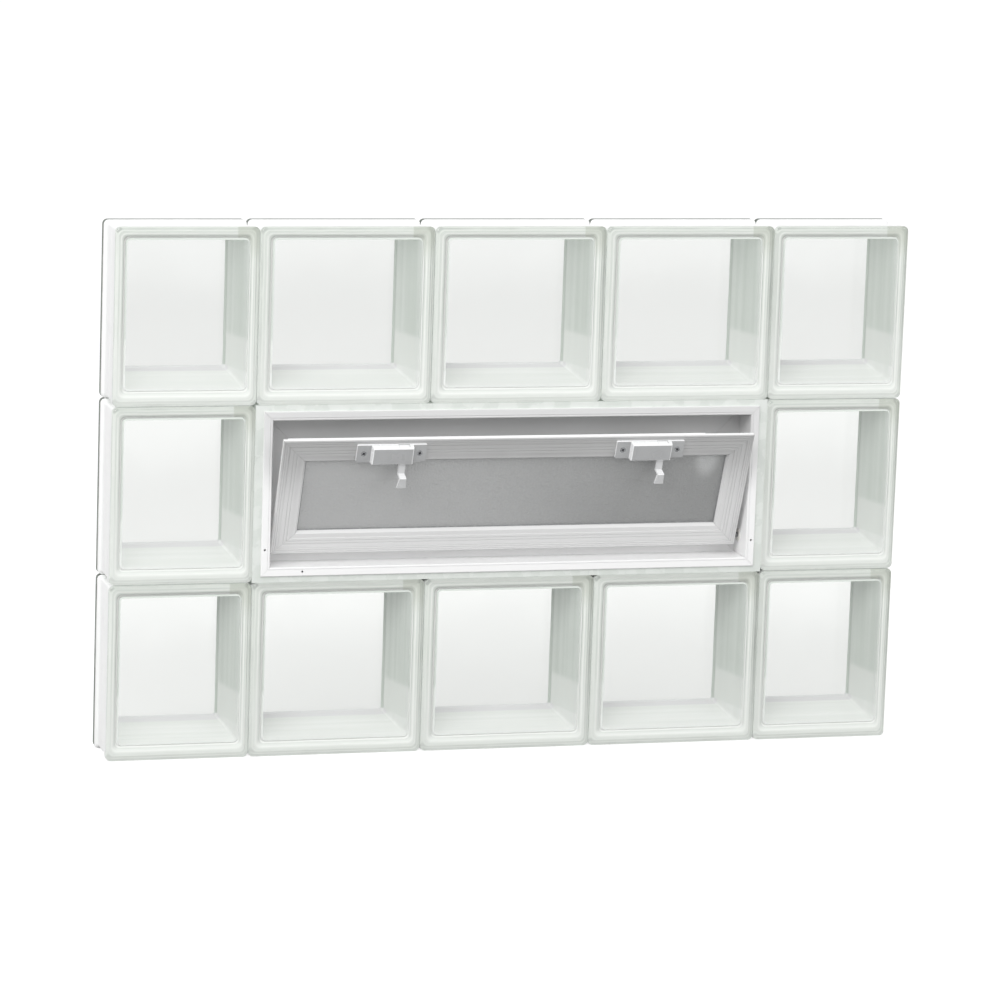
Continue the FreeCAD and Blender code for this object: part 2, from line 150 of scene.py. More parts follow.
class Graph:
    """A node tree that is filled by expressions."""

    def __init__(self, tree: bpy.types.NodeTree) -> None:
        """Take over a material's or world's tree and empty it."""
        self.tree = tree
        tree.nodes.clear()

    def node(
        self,
        kind: str,
        settings: dict[str, Any] | None = None,
        inputs: dict[str | int, Any] | None = None,
        output: str | int = 0,
    ) -> Wire:
        """Add one node.

        Args:
            kind: Blender's node type.
            settings: Attributes set first.
            inputs: Values or wires, by socket identifier, name or number.
            output: Name, identifier or number of the output that is wanted.

        Returns:
            The wanted output.
        """
        made = self.tree.nodes.new(kind)
        for name, value in (settings or {}).items():
            setattr(made, name, value)
        for key, value in (inputs or {}).items():
            socket = self._socket(made.inputs, key)
            if isinstance(value, Wire):
                self.tree.links.new(value.socket, socket)
            else:
                socket.default_value = value
        return Wire(self, self._socket(made.outputs, output)) if len(made.outputs) else None

    @staticmethod
    def _socket(sockets: Any, key: str | int) -> bpy.types.NodeSocket:
        """Return the socket of this number, identifier or name."""
        if isinstance(key, int):
            return sockets[key]
        return next((s for s in sockets if s.identifier == key), None) or sockets[key]

    def ramp(self, value: Wire, stops: Sequence[tuple[float, Sequence[float]]]) -> Wire:
        """Return the colour at a value between 0 and 1.

        Args:
            value: Where the ramp is read.
            stops: Place and colour of each stop.

        Returns:
            The colour.
        """
        result = self.node("ShaderNodeValToRGB", None, {"Fac": value}, "Color")
        elements = result.socket.node.color_ramp.elements
        while len(elements) < len(stops):
            elements.new(1.0)
        for element, (place, colour) in zip(elements, stops):
            element.position = place
            element.color = (*colour, 1.0)
        return result

    def blend(self, share: Wire | float, first: Any, second: Any) -> Wire:
        """Return a colour between two.

        Args:
            share: How much of the second colour, from 0 to 1.
            first: Colour where the share is 0.
            second: Colour where the share is 1.

        Returns:
            The mixed colour.
        """
        sides = {"A_Color": first, "B_Color": second}
        sides = {k: v if isinstance(v, Wire) else (*v, 1.0) for k, v in sides.items()}
        return self.node("ShaderNodeMix", {"data_type": "RGBA"}, {"Factor_Float": share, **sides}, "Result_Color")

    def place(self) -> Wire:
        """Return the Object coordinates, which are metres in the panel's frame."""
        return self.node("ShaderNodeTexCoord", output="Object")

    def parts(self, vector: Wire) -> tuple[Wire, Wire, Wire]:
        """Return a vector's X, Y and Z."""
        split = self.node("ShaderNodeSeparateXYZ", None, {0: vector})
        outs = split.socket.node.outputs
        return Wire(self, outs[0]), Wire(self, outs[1]), Wire(self, outs[2])

    def turned(self, vector: Wire, centre: Sequence[float], angle: float) -> Wire:
        """Return coordinates measured from a centre, after undoing a turn about X by an angle in radians."""
        moved = self.node("ShaderNodeVectorMath", {"operation": "SUBTRACT"}, {0: vector, 1: tuple(centre)})
        return self.node("ShaderNodeMapping", {"vector_type": "POINT"}, {"Vector": moved, "Rotation": (-angle, 0, 0)})

    def facing(self, angle: float) -> Wire:
        """Return how squarely the surface faces the room.

        Args:
            angle: How far the piece's front is turned down about X, in radians.

        Returns:
            The cosine between the surface's normal and the front's.
        """
        normal = self.node("ShaderNodeTexCoord", output="Normal")
        front = (0.0, -math.cos(angle), -math.sin(angle))
        return self.node("ShaderNodeVectorMath", {"operation": "DOT_PRODUCT"}, {0: normal, 1: front}, "Value")

    def noise(self, vector: Wire, grain: Grain) -> Wire:
        """Return a noise from 0 to 1.

        Args:
            vector: Where the noise is read.
            grain: Its size and layers.

        Returns:
            The noise value.
        """
        if grain.stretch is not None:
            vector = self.stretched(vector, grain.stretch)
        inputs = {"Vector": vector, "Scale": grain.scale, "Detail": grain.detail, "Roughness": grain.rough}
        return self.node("ShaderNodeTexNoise", None, inputs, "Fac")

    def stretched(self, vector: Wire, scale: Sequence[float]) -> Wire:
        """Return the vector with each part multiplied by its own scale."""
        return self.node("ShaderNodeVectorMath", {"operation": "MULTIPLY"}, {0: vector, 1: tuple(scale)})

    def bump(self, height: Wire, depth: float) -> Wire:
        """Return a normal that shows a height pattern from 0 to 1, whose full range is this depth in metres."""
        return self.node("ShaderNodeBump", None, {"Height": height, "Distance": depth}, "Normal")

    def principled(self, **inputs: Any) -> Wire:
        """Return a Principled shader; underscores in the names stand for spaces."""
        return self.node("ShaderNodeBsdfPrincipled", None, {k.replace("_", " "): v for k, v in inputs.items()})

    def attribute(self, name: str) -> Wire:
        """Return a number that the mesh keeps at each of its points."""
        return self.node("ShaderNodeAttribute", {"attribute_name": name}, None, "Fac")

    def on_rays(self, shader: Wire, other: Wire, rays: Sequence[str]) -> Wire:
        """Return a shader that is swapped for another on some kinds of ray.

        Args:
            shader: The usual shader.
            other: The shader for those rays.
            rays: Outputs of the Light Path node.

        Returns:
            The mixed shader.
        """
        for ray in rays:
            path = self.node("ShaderNodeLightPath", output=ray)
            shader = self.node("ShaderNodeMixShader", None, {0: path, 1: shader, 2: other})
        return shader

    def lit_through(self, shader: Wire, passed: Sequence[float], rays: Sequence[str] = LIGHT_RAYS) -> Wire:
        """Return a shader through which this share of each colour of light passes straight on these rays."""
        clear = self.node("ShaderNodeBsdfTransparent", None, {"Color": (*passed, 1.0)})
        return self.on_rays(shader, clear, rays)

    def surface(self, shader: Wire) -> None:
        """Send a shader to the output."""
        self.node("ShaderNodeOutputMaterial", None, {"Surface": shader})


# Finishes


class Finish:
    """A material that is made once and then shared."""

    @property
    def label(self) -> str:
        """Return the material's name."""
        return type(self).__name__

    def material(self) -> bpy.types.Material:
        """Return the material, made on first use."""
        found = bpy.data.materials.get(self.label)
        if found is None:
            found = bpy.data.materials.new(self.label)
            found.use_nodes = True
            self.fill(Graph(found.node_tree))
        return found

    def fill(self, graph: Graph) -> None:
        """Build the node tree."""
        raise NotImplementedError


@dataclass(frozen=True, kw_only=True)
class Opaque(Finish):
    """A finish in one opaque layer, with a roughness span, gloss, relief depth and light let through."""

    roughness: Span
    gloss: float = 0.5
    relief: float
    passed: Colour | None = None
    passed_rays: tuple[str, ...] = LIGHT_RAYS

    def layer(self, graph: Graph, colour: Wire, grain: Wire, height: Wire | None = None, **more: Any) -> None:
        """Send the layer to the output.

        Args:
            graph: The material's graph.
            colour: Its colour.
            grain: A noise that its roughness follows.
            height: A pattern for its relief, or None for the grain itself.
            more: Further Principled inputs.
        """
        shader = graph.principled(
            Base_Color=colour,
            Roughness=grain.spread(self.roughness),
            Specular_IOR_Level=self.gloss,
            Normal=graph.bump(grain if height is None else height, self.relief),
            **more,
        )
        if self.passed is not None:
            shader = graph.lit_through(shader, self.passed, self.passed_rays)
        graph.surface(shader)


@dataclass(frozen=True)
class ClearGlass(Finish):
    """Pressed glass: clear and faintly green, paler towards the top of each block, with slow waves; the darker tint
    below the top is painted shade.
    """

    tint: Colour = (0.910, 0.917, 0.909)
    painted_shade_tint: Colour = (0.855, 0.861, 0.853)
    passed: Colour = (0.97, 0.98, 0.972)
    ior: float = 1.5
    cloud: Grain = Grain(9.0, 3.0)
    unevenness: float = 0.4
    tint_span: Span = (0.5, 0.95)
    waves: Grain = Grain(22.0, stretch=(1.0, 1.0, 0.6))
    wave_depth: float = 0.25 * MM

    def fill(self, graph: Graph) -> None:
        """Build the glass."""
        place = graph.place()
        _, _, level = graph.parts(place)
        height = (level % ROW_PITCH) / ROW_PITCH + graph.noise(place, self.cloud).swing(self.unevenness)
        # Painted shade: the tint is darker below the top of each block.
        shader = graph.principled(
            Base_Color=graph.blend(height.fade(*self.tint_span), self.tint, self.painted_shade_tint),
            Roughness=0.0,
            IOR=self.ior,
            Transmission_Weight=1.0,
            Normal=graph.bump(graph.noise(place, self.waves), self.wave_depth),
        )
        graph.surface(graph.lit_through(shader, self.passed))


@dataclass(frozen=True)
class EdgeCoat(Opaque):
    """Milky coat on the sides of a block, uneven from the brush, with painted shade as dark bands along the edges of
    both faces.
    """

    thin: Colour = (0.95, 0.955, 0.95)
    thick: Colour = (0.975, 0.976, 0.975)
    painted_edge_shade: Colour = (0.56, 0.59, 0.56)
    painted_back_edge_shade: Colour = (0.13, 0.15, 0.13)
    passed: Colour = (0.55, 0.57, 0.55)
    passed_rays: tuple[str, ...] = ("Is Shadow Ray",)
    brush: Grain = Grain(60.0, 4.0, 0.6, (1.0, 3.0, 1.0))
    tone_span: Span = (0.3, 0.75)
    roughness: Span = (0.35, 0.6)
    gloss: float = 0.4
    relief: float = 0.2 * MM
    coat_start: float = 3.2 * MM
    coat_end: float = 67.0 * MM
    ragged: float = 2.5 * MM

    def fill(self, graph: Graph) -> None:
        """Build the coat."""
        place = graph.place()
        _, depth, _ = graph.parts(place)
        brush = graph.noise(place, self.brush)
        reach = depth + brush.swing(self.ragged)
        coat = graph.blend(brush.step(*self.tone_span), self.thin, self.thick)
        # Painted shade: dark bands where the coat meets the glass edges of the front and back faces.
        coat = graph.blend(reach.fade(self.coat_start, self.coat_start + self.ragged), coat, self.painted_edge_shade)
        coat = graph.blend(reach.step(self.coat_end, self.coat_end + self.ragged), coat, self.painted_back_edge_shade)
        self.layer(graph, coat, brush)


@dataclass(frozen=True)
class MilkyWall(Opaque):
    """Inside wall of a block, where the coat shows through the glass in bands of painted light and shade along the
    depth.
    """

    shade: Colour = (0.68, 0.725, 0.68)
    light: Colour = (0.79, 0.825, 0.79)
    lowest: Colour = (0.93, 0.94, 0.92)
    floor: Colour = (0.97, 0.975, 0.965)
    lilac: Colour = (0.86, 0.845, 0.865)
    edge: Colour = (0.60, 0.64, 0.60)
    passed: Colour = (0.98, 0.985, 0.98)
    bands: Grain = Grain(95.0, stretch=(0.01, 1.0, 0.01))
    cloud: Grain = Grain(25.0)
    band_share: float = 0.75
    tone_span: Span = (0.3, 0.7)
    roughness: Span = (0.3, 0.45)
    gloss: float = 0.3
    relief: float = 0.2 * MM
    lit_span: Span = (68.0 * MM, 76.0 * MM)
    lit_share: float = 0.75
    floor_height: float = 36.0 * MM
    floor_bands: tuple[float, float, float, float] = (0.35, 0.65, 0.4, 1.0)
    foot_depth: float = 62.0 * MM
    edge_depth: float = 69.0 * MM

    def fill(self, graph: Graph) -> None:
        """Build the wall.

        The bands are a noise that changes with depth only. The lowest part of
        each block's wall is painted lighter, a painted reflection of the floor
        of the cavity. The floor of the cavity is painted near white, painted
        light where it faces up. The floor ends in a lilac band at the foot of
        the back pane, and the sides end there in a dark line of painted shade.
        """
        place = graph.place()
        _, depth, level = graph.parts(place)
        bands, cloud = graph.noise(place, self.bands), graph.noise(place, self.cloud)
        mixed = bands * self.band_share + cloud * (1 - self.band_share)
        colour = graph.blend(mixed.step(*self.tone_span), self.shade, self.light)
        height = level % ROW_PITCH
        # Painted reflection: the lowest part of the wall is lighter.
        colour = graph.blend(height.fade(*self.lit_span, self.lit_share), colour, self.lowest)
        on_floor = height.fade(self.floor_height - SOFT, self.floor_height)
        # Painted light: the cavity's floor is near white.
        colour = graph.blend(on_floor * bands.step(*self.floor_bands), colour, self.floor)
        foot = on_floor * depth.step(self.foot_depth, self.foot_depth + SOFT)
        colour = graph.blend(foot, colour, self.lilac)
        # Painted shade: a dark line where the side walls reach the back pane.
        edge = (1 - on_floor) * depth.step(self.edge_depth, self.edge_depth + SOFT)
        self.layer(graph, graph.blend(edge, colour, self.edge), cloud, bands)


@dataclass(frozen=True)
class RimBands(Opaque):
    """Milky frame in the rim of a block, painted with bands of light and shade where the steps of the pressing show
    through the glass; the bands follow its edge.
    """

    tones: tuple[Span, ...] = (
        (0.00, 0.62), (0.10, 0.64), (0.13, 0.95), (0.18, 0.95), (0.21, 0.70), (0.28, 0.72),
        (0.32, 0.96), (0.38, 0.98), (0.42, 0.79), (0.55, 0.81), (0.60, 0.98), (0.67, 0.98),
        (0.71, 0.82), (0.80, 0.78), (0.84, 0.60), (0.88, 0.62), (0.91, 1.00), (1.00, 1.00),
    )
    tint: Colour = (1.0, 1.035, 0.985)
    mean: Colour = (0.85, 0.88, 0.84)
    olive: Colour = (0.62, 0.65, 0.57)
    pale: Colour = (0.96, 0.97, 0.95)
    passed: Colour = (0.9, 0.91, 0.9)
    cloud: Grain = Grain(18.0, 3.0)
    wander: float = 0.10
    level_wander: float = 30.0 * MM
    blur: Grain = Grain(30.0)
    blur_steps: tuple[float, float, float, float] = (0.4, 0.7, 0.0, 0.4)
    pale_span: Span = (38.5 * MM, 115.5 * MM)
    pale_share: float = 0.5
    column_edge: float = 98.55 * MM
    last_edge: float = 455.55 * MM
    corner_wide: Span = (23.0 * MM, 25.0 * MM)
    corner_tall: Span = (15.0 * MM, 45.0 * MM)
    corner_share: float = 0.6
    roughness: Span = (0.35, 0.5)
    gloss: float = 0.3
    relief: float = 0.4 * MM

    def fill(self, graph: Graph) -> None:
        """Build the rim.

        The bands wander a little and are painted paler low down on each
        block, painted light. The upper right corner of each block is olive, a
        painted view of the joint behind it through the glass. Distances from a
        block's right and upper edges come from the remainders of x and z by
        the pitch.
        """
        place = graph.place()
        x, _, level = graph.parts(place)
        cloud = graph.noise(place, self.cloud)
        stops = [(at, [min(tone * t, 1.0) for t in self.tint]) for at, tone in self.tones]
        # Painted light and shade: bands across the rim.
        bands = graph.ramp(graph.attribute("shade") + cloud.swing(self.wander), stops)
        bands = graph.blend(graph.noise(place, self.blur).step(*self.blur_steps), bands, self.mean)
        height = level % ROW_PITCH
        # Painted light: paler low down on each block.
        low = (height + cloud.swing(self.level_wander)).fade(*self.pale_span, self.pale_share)
        bands = graph.blend(low, bands, self.pale)
        from_right = (ROW_PITCH - (x + self.column_edge) % ROW_PITCH).least(self.last_edge - x)
        from_top = ROW_PITCH - height
        # Painted view of the joint through the glass: the olive corner.
        corner = from_right.fade(*self.corner_wide) * from_top.fade(*self.corner_tall, self.corner_share)
        self.layer(graph, graph.blend(corner, bands, self.olive), cloud)


class Turn(Enum):
    """How a vinyl piece lies."""

    UPRIGHT = "upright"
    TILTED = "tilted"


@dataclass(frozen=True, kw_only=True)
class Vinyl(Opaque):
    """White extruded vinyl, with the die's fine lines along each rail and a mitre at each corner, painted shade
    towards the top and a painted highlight along the outer edge.
    """

    turn: Turn
    half_width: float
    half_height: float
    centre: Point
    angle: float
    lines: tuple[float, ...]
    line_share: float
    foot: Colour
    head: Colour
    painted_highlight: Colour = (0.92, 0.92, 0.92)
    line: Colour = (0.35, 0.355, 0.36)
    line_edge: Span = (0.1 * MM, 0.6 * MM)
    mitre_edge: Span = (0.1 * MM, 0.5 * MM)
    outer_edge: Span = (0.5 * MM, 1.0 * MM)
    side_span: Span = (0.3, 0.6)
    cloud: Grain = Grain(14.0, 3.0)
    unevenness: float = 0.25
    tone_span: Span = (0.4, 1.0)
    grain: Grain = Grain(900.0)
    grain_share: float = 0.06
    roughness: Span = (0.28, 0.4)
    gloss: float = 0.45
    relief: float = 0.3 * MM

    @property
    def label(self) -> str:
        """Return the material's name for this turn."""
        return "Vinyl_" + self.turn.value

    def fill(self, graph: Graph) -> None:
        """Build the vinyl.

        The inset from the outer edge is the smaller of the distances to the
        nearest upright and level edges. A line lies where the inset is near
        one of the line insets, and a mitre where the two distances are equal.
        The outer edge, wherever the surface doesn't face out of the frame, is
        painted lighter than the front, a painted highlight. The colour is
        painted darker towards the top, painted shade.
        """
        flat = graph.turned(graph.place(), self.centre, self.angle)
        x, _, z = graph.parts(flat)
        from_side = self.half_width - abs(x)
        from_level = self.half_height - abs(z)
        inset = from_side.least(from_level)
        from_line = abs(inset - self.lines[0])
        for at in self.lines[1:]:
            from_line = from_line.least(abs(inset - at))
        marks = from_line.fade(*self.line_edge).most(abs(from_side - from_level).fade(*self.mitre_edge))
        cloud, grain = graph.noise(flat, self.cloud), graph.noise(flat, self.grain)
        height = z / (2 * self.half_height) + 0.5 + cloud.swing(self.unevenness)
        # Painted shade: darker towards the top.
        colour = graph.blend(height.step(*self.tone_span), self.foot, self.head)
        # Painted highlight on the outer edge of the sides.
        outer = graph.facing(self.angle).fade(*self.side_span) * inset.fade(*self.outer_edge)
        colour = graph.blend(outer, colour, self.painted_highlight)
        colour = graph.blend(marks * self.line_share, colour, self.line)
        self.layer(graph, colour, cloud, grain * self.grain_share - marks)


@dataclass(frozen=True, kw_only=True)
class FrameVinyl(Vinyl):
    """The vent frame's vinyl."""

    turn: Turn = Turn.UPRIGHT
    half_width: float = 286.55 * MM
    half_height: float = 91.95 * MM
    centre: Point = (0.0, 0.0, 295.25 * MM)
    angle: float = 0.0
    lines: tuple[float, ...] = (7.4 * MM,)
    line_share: float = 0.06
    # Painted shade: the frame is painted darker towards its head.
    foot: Colour = (0.94, 0.94, 0.94)
    head: Colour = (0.74, 0.74, 0.74)


@dataclass(frozen=True, kw_only=True)
class SashVinyl(Vinyl):
    """The sash's vinyl, with its centre above the pivot along the tilted sash."""

    turn: Turn = Turn.TILTED
    half_width: float = 271.05 * MM
    half_height: float = 72.99912 * MM
    centre: Point = tuple(Vector(SASH_PIVOT) + Matrix.Rotation(SASH_TILT, 3, "X") @ Vector((0, 0, 63.99912 * MM)))
    angle: float = SASH_TILT
    lines: tuple[float, ...] = (2.4 * MM, 4.8 * MM, 13.0 * MM, 16.6 * MM)
    line_share: float = 0.2
    # Painted shade: the tilted sash is painted darker than the frame, most towards its head.
    foot: Colour = (0.78, 0.78, 0.78)
    head: Colour = (0.47, 0.47, 0.47)


@dataclass(frozen=True)
class LatchPlastic(Opaque):
    """White moulded plastic with a faint orange-peel skin, painted grey on its front as painted shade, mottled at
    random, and painted light along its edges as a painted highlight.
    """

    front: Colour = (0.46, 0.465, 0.47)
    shade_mottle: Colour = (0.41, 0.415, 0.42)
    painted_highlight: Colour = (0.92, 0.925, 0.93)
    cloud: Grain = Grain(45.0, 3.0)
    mottle_span: Span = (0.35, 0.7)
    front_span: Span = (0.90, 0.97)
    roughness: Span = (0.22, 0.34)
    peel: Grain = Grain(700.0, 1.0)
    relief: float = 0.03 * MM

    def fill(self, graph: Graph) -> None:
        """Build the plastic; the front is wherever the surface faces square out of the sash."""
        place = graph.place()
        cloud = graph.noise(place, self.cloud)
        # Painted shade on the front, mottled at random.
        grey = graph.blend(cloud.step(*self.mottle_span), self.front, self.shade_mottle)
        # Painted highlight on the faces that don't face square out of the sash.
        colour = graph.blend(graph.facing(SASH_TILT).step(*self.front_span), self.painted_highlight, grey)
        self.layer(graph, colour, cloud, graph.noise(place, self.peel))


@dataclass(frozen=True)
class LeverPlastic(LatchPlastic):
    """The levers' plastic, whose front is painted with less shade than the brackets'."""

    # Painted shade on the front, lighter than the brackets'.
    front: Colour = (0.72, 0.725, 0.73)
    shade_mottle: Colour = (0.65, 0.655, 0.66)


@dataclass(frozen=True)
class ObscureGlass(Finish):
    """Fine pebbled privacy glass, which shades off towards one end and has a pale patch there."""

    pale: Colour = (0.56, 0.565, 0.565)
    deep: Colour = (0.37, 0.375, 0.375)
    patch: Colour = (0.64, 0.65, 0.65)
    half_width: float = 0.25
    cloud: Grain = Grain(5.0, 3.0, 0.6)
    cloud_swing: float = 0.5
    pebble_scale: float = 420.0
    pebble_smooth: float = 0.6
    pebble_swing: float = 0.2
    tone_span: Span = (0.1, 1.0)
    patch_centre: Point = (0.222, -0.012, 0.330)
    patch_reach: Point = (0.014, 0.2, 0.022)
    patch_fade: tuple[float, float, float] = (0.4, 1.3, 0.8)
    roughness: float = 0.32
    ior: float = 1.5
    clearness: float = 0.25
    fine: Grain = Grain(900.0)
    pebble_share: float = 0.8
    fine_share: float = 0.3
    relief: float = 0.6 * MM

    def fill(self, graph: Graph) -> None:
        """Build the pebbled glass."""
        place = graph.place()
        along, _, _ = graph.parts(place)
        cells = {"Vector": place, "Scale": self.pebble_scale, "Smoothness": self.pebble_smooth}
        pebble = graph.node("ShaderNodeTexVoronoi", {"feature": "SMOOTH_F1"}, cells, "Distance")
        cloud = graph.noise(place, self.cloud).swing(self.cloud_swing)
        across = along / (2 * self.half_width) + 0.5 + cloud + pebble.swing(self.pebble_swing)
        colour = graph.blend(across.step(*self.tone_span), self.pale, self.deep)
        offset = graph.node("ShaderNodeVectorMath", {"operation": "SUBTRACT"}, {0: place, 1: self.patch_centre})
        offset = graph.stretched(offset, [1 / r for r in self.patch_reach])
        reach = graph.node("ShaderNodeVectorMath", {"operation": "LENGTH"}, {0: offset}, "Value")
        height = pebble * self.pebble_share + graph.noise(place, self.fine) * self.fine_share
        shader = graph.principled(
            Base_Color=graph.blend(reach.fade(*self.patch_fade), colour, self.patch),
            Roughness=self.roughness,
            IOR=self.ior,
            Transmission_Weight=self.clearness,
            Normal=graph.bump(height, self.relief),
        )
        graph.surface(shader)


@dataclass(frozen=True)
class Mottled(Opaque):
    """A plain material that varies a little between two tones."""

    first: Colour
    second: Colour
    grain: Grain
    tone_span: Span = (0.3, 0.7)
    metallic: float = 0.0

    def colour(self, graph: Graph, grain: Wire) -> Wire:
        """Return the colour at a value of the grain."""
        return graph.blend(grain.step(*self.tone_span), self.first, self.second)

    def fill(self, graph: Graph) -> None:
        """Build the material."""
        grain = graph.noise(graph.place(), self.grain)
        self.layer(graph, self.colour(graph, grain), grain, Metallic=self.metallic)


@dataclass(frozen=True)
class Silicone(Mottled):
    """Milky sealant with a tooled skin."""

    first: Colour = (0.69, 0.73, 0.69)
    second: Colour = (0.78, 0.81, 0.78)
    grain: Grain = Grain(40.0, 3.0)
    roughness: Span = (0.2, 0.35)
    relief: float = 0.4 * MM


@dataclass(frozen=True)
class GasketRubber(Mottled):
    """Grey glazing rubber with some dust on it."""

    first: Colour = (0.28, 0.285, 0.29)
    second: Colour = (0.40, 0.405, 0.41)
    grain: Grain = Grain(160.0, 4.0, 0.6)
    roughness: Span = (0.55, 0.75)
    relief: float = 0.1 * MM
    tone_span: Span = (0.45, 0.75)


@dataclass(frozen=True)
class PlatedSteel(Mottled):
    """Zinc plated steel with a fine turned grain, painted dark down in a recess as painted shade."""

    first: Colour = (0.30, 0.305, 0.31)
    second: Colour = (0.18, 0.185, 0.19)
    recess: Colour = (0.05, 0.05, 0.055)
    grain: Grain = Grain(500.0, 3.0)
    roughness: Span = (0.28, 0.45)
    relief: float = 0.04 * MM
    tone_span: Span = (0.35, 0.7)
    metallic: float = 0.9

    def colour(self, graph: Graph, grain: Wire) -> Wire:
        """Return the plating's colour, or the recess's painted shade where the mesh says so."""
        return graph.blend(graph.attribute("shade"), super().colour(graph, grain), self.recess)


@dataclass(frozen=True)
class Nylon(Mottled):
    """Natural nylon."""

    first: Colour = (0.80, 0.79, 0.75)
    second: Colour = (0.70, 0.69, 0.65)
    grain: Grain = Grain(120.0, 3.0)
    roughness: Span = (0.35, 0.5)
    relief: float = 0.08 * MM

    def colour(self, graph: Graph, grain: Wire) -> Wire:
        """Return the colour straight from the grain."""
        return graph.blend(grain, self.first, self.second)


# Surfaces


def placed(name: str, data: bpy.types.ID) -> bpy.types.Object:
    """Return a new object with this data, linked to the scene."""
    made = bpy.data.objects.new(name, data)
    bpy.context.scene.collection.objects.link(made)
    return made


@dataclass
class Surface:
    """Vertices with faces that point outwards, and one material slot for each face."""

    points: np.ndarray
    faces: list[list[int]]
    slots: list[int]
    shade: np.ndarray | None = None

    @staticmethod
    def joined(shapes: Sequence["Surface"]) -> "Surface":
        """Return several surfaces as one.

        Args:
            shapes: The surfaces.

        Returns:
            One surface with all their faces.
        """
        starts = np.cumsum([0] + [len(s.points) for s in shapes[:-1]])
        faces = [[k + int(start) for k in face] for s, start in zip(shapes, starts) for face in s.faces]
        slots = [slot for s in shapes for slot in s.slots]
        shade = np.concatenate([np.zeros(len(s.points)) if s.shade is None else s.shade for s in shapes])
        return Surface(np.concatenate([s.points for s in shapes]), faces, slots, shade)

    def flipped(self) -> "Surface":
        """Return the surface with its faces turned the other way."""
        return Surface(self.points, [face[::-1] for face in self.faces], self.slots)

    def build(self, name: str, finishes: Sequence[Finish], sharp: float | None = None) -> bpy.types.Object:
        """Make the object.

        Args:
            name: The piece's name.
            finishes: A finish for each material slot.
            sharp: Edges that turn by more than this, in degrees, stay sharp; None leaves all smooth.

        Returns:
            The object, at the origin.
        """
        mesh = bpy.data.meshes.new(name)
        mesh.from_pydata(self.points.tolist(), [], self.faces)
        mesh.polygons.foreach_set("material_index", np.array(self.slots, np.int32))
        if self.shade is not None:
            mesh.attributes.new("shade", "FLOAT", "POINT").data.foreach_set("value", self.shade.astype(np.float32))
        mesh.shade_smooth()
        if sharp is not None:
            mesh.set_sharp_from_angle(angle=math.radians(sharp))
        for finish in finishes:
            mesh.materials.append(finish.material())
        mesh.update()
        log.info("%s: %d faces", name, len(self.faces))
        return placed(name, mesh)


def ring_points(rings: np.ndarray, depths: np.ndarray, centre: Sequence[float]) -> np.ndarray:
    """Return the points of outlines about a centre in X and Z, each outline at its own Y."""
    points = np.empty((*rings.shape[:2], 3))
    points[..., 0] = rings[..., 0] + centre[0]
    points[..., 1] = depths[:, None]
    points[..., 2] = rings[..., 1] + centre[1]
    return points.reshape(-1, 3)


def ring_faces(count: int, steps: int, looped: bool = False) -> list[list[int]]:
    """Return the faces between outlines that follow one another.

    Each face joins steps j and j + 1 of outlines i and i + 1.

    Args:
        count: How many outlines there are.
        steps: Points on each outline.
        looped: Whether the last outline joins the first; otherwise a flat face closes each end.

    Returns:
        The faces: first cap, bands, last cap, or the bands alone.
    """
    here = np.arange(count * steps).reshape(count, steps)
    rows = np.concatenate([here, here[:1]]) if looped else here
    after = np.roll(rows, -1, axis=1)
    bands = np.stack([rows[:-1], rows[1:], after[1:], after[:-1]], -1).reshape(-1, 4).tolist()
    return bands if looped else [here[0].tolist(), *bands, here[-1][::-1].tolist()]


@dataclass(frozen=True)
class BlockBox:
    """A block's outer box, with the Y of its front face and its middle in X and Z."""

    width: float
    depth: float
    height: float
    front: float
    centre: Span

    @classmethod
    def of(cls, node: str) -> "BlockBox":
        """Return the box of a CAD node."""
        low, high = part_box(node)
        sizes = (b - a for a, b in zip(low, high))
        return cls(*sizes, low[1], ((low[0] + high[0]) / 2, (low[2] + high[2]) / 2))

    def outlines(self, radii: np.ndarray, insets: np.ndarray, chords: int, runs: int) -> np.ndarray:
        """Return closed outlines of the rounded box seen from the front, one for each row of insets.

        A corner point is the corner's centre plus the radius times (cos t, sin t),
        with t a quarter turn in equal steps. Points along a side lie evenly
        between the end of one corner and the start of the next.

        Args:
            radii: Corner radius of each outline.
            insets: How far each outline lies inside the outer one at its right, left, top and bottom.
            chords: Steps in each corner.
            runs: Steps along each side.

        Returns:
            Array of shape (outlines, points, 2).
        """
        right, left, top, bottom = (np.broadcast_to(insets, (len(radii), 4))).T
        across, up = self.width / 2, self.height / 2
        x = np.stack([across - right, left - across, left - across, across - right], 1)
        z = np.stack([up - top, up - top, bottom - up, bottom - up], 1)
        sides = np.array([[1, 1], [-1, 1], [-1, -1], [1, -1]])
        r = radii[:, None, None]
        centres = np.stack([x, z], -1) - sides[None] * r
        t = np.linspace(0, math.pi / 2, chords + 1)[None] + np.arange(4)[:, None] * math.pi / 2
        arcs = centres[:, :, None, :] + r[..., None] * np.stack([np.cos(t), np.sin(t)], -1)[None]
        share = (np.arange(1, runs) / runs)[None, None, :, None]
        starts = arcs[:, :, -1:, :]
        ends = np.roll(arcs[:, :, :1, :], -1, axis=1)
        straights = starts * (1 - share) + ends * share
        return np.concatenate([arcs, straights], axis=2).reshape(len(radii), -1, 2)

    def stacked(self, rings: np.ndarray, depths: np.ndarray, slots: Sequence[int]) -> Surface:
        """Return a closed surface through outlines that lie one behind the other.

        Args:
            rings: Array from outlines.
            depths: Depth of each outline behind the front face.
            slots: Material slot of the front cap, of each band, and of the back cap.

        Returns:
            The surface, with faces outwards.
        """
        count, steps = rings.shape[:2]
        bands = np.repeat(np.array(slots[1:-1], int), steps).tolist()
        points = ring_points(rings, self.front + depths, self.centre)
        return Surface(points, ring_faces(count, steps), [slots[0], *bands, slots[-1]])


# Glass blocks


